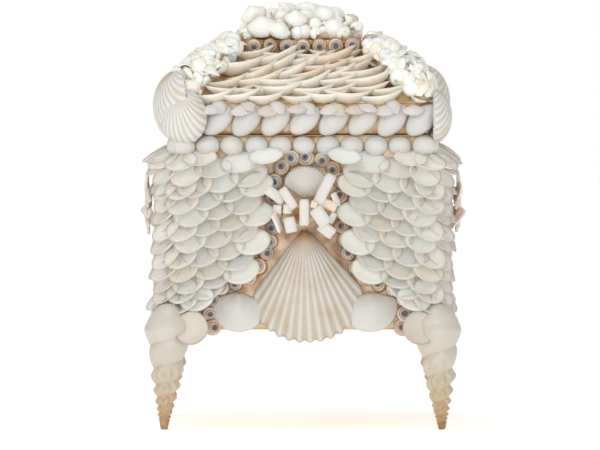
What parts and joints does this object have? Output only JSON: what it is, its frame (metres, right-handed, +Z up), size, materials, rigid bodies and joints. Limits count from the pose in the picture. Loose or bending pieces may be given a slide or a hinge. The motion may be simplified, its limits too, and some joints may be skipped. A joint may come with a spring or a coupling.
{
  "type": "shell-covered box with lid",
  "caption": "Square lidded box covered in white sea shells, standing on spire-shell feet, with a scallop and bow in an arch on each side and a crowned roof-shaped lid",
  "frame": {"origin": "on the table under the middle of the box, at the bottom of the foot tips", "axes": "+Z up, the front face with the scallop and bow faces -Y, +X to the right of it"},
  "size_m": [0.2692, 0.2692, 0.3561],
  "materials": {
    "wood": "matte",
    "white_shell": "satin",
    "cream_shell": "satin",
    "ribbed_shell": "satin",
    "button_shell": "satin",
    "foot_shell": "satin"
  },
  "bodies": {
    "root": {"box_carcass": "wood", "lid_carcass": "wood", "lid_crown_buttons": "button_shell", "lid_crown_cluster": "white_shell", "foot_front_left": "foot_shell", "foot_front_right": "foot_shell", "foot_back_right": "foot_shell", "foot_back_left": "foot_shell", "front_large_scallop": "ribbed_shell", "front_small_scallop": "ribbed_shell", "front_bow": "white_shell", "front_cockle_left": "white_shell", "front_cockle_right": "white_shell", "front_curtain_left": "white_shell", "front_curtain_right": "white_shell", "front_button_arch": "button_shell", "front_bean_row": "white_shell", "front_lid_band_shells": "white_shell", "front_lid_slope_shells": "cream_shell", "front_lid_hip_shells": "cream_shell", "front_lid_corner_cockle": "white_shell", "right_large_scallop": "ribbed_shell", "right_small_scallop": "ribbed_shell", "right_bow": "white_shell", "right_cockle_left": "white_shell", "right_cockle_right": "white_shell", "right_curtain_left": "white_shell", "right_curtain_right": "white_shell", "right_button_arch": "button_shell", "right_bean_row": "white_shell", "right_lid_band_shells": "white_shell", "right_lid_slope_shells": "cream_shell", "right_lid_hip_shells": "cream_shell", "right_lid_corner_cockle": "white_shell", "back_large_scallop": "ribbed_shell", "back_small_scallop": "ribbed_shell", "back_bow": "white_shell", "back_cockle_left": "white_shell", "back_cockle_right": "white_shell", "back_curtain_left": "white_shell", "back_curtain_right": "white_shell", "back_button_arch": "button_shell", "back_bean_row": "white_shell", "back_lid_band_shells": "white_shell", "back_lid_slope_shells": "cream_shell", "back_lid_hip_shells": "cream_shell", "back_lid_corner_cockle": "white_shell", "left_large_scallop": "ribbed_shell", "left_small_scallop": "ribbed_shell", "left_bow": "white_shell", "left_cockle_left": "white_shell", "left_cockle_right": "white_shell", "left_curtain_left": "white_shell", "left_curtain_right": "white_shell", "left_button_arch": "button_shell", "left_bean_row": "white_shell", "left_lid_band_shells": "white_shell", "left_lid_slope_shells": "cream_shell", "left_lid_hip_shells": "cream_shell", "left_lid_corner_cockle": "white_shell"}
  },
  "joints": []
}
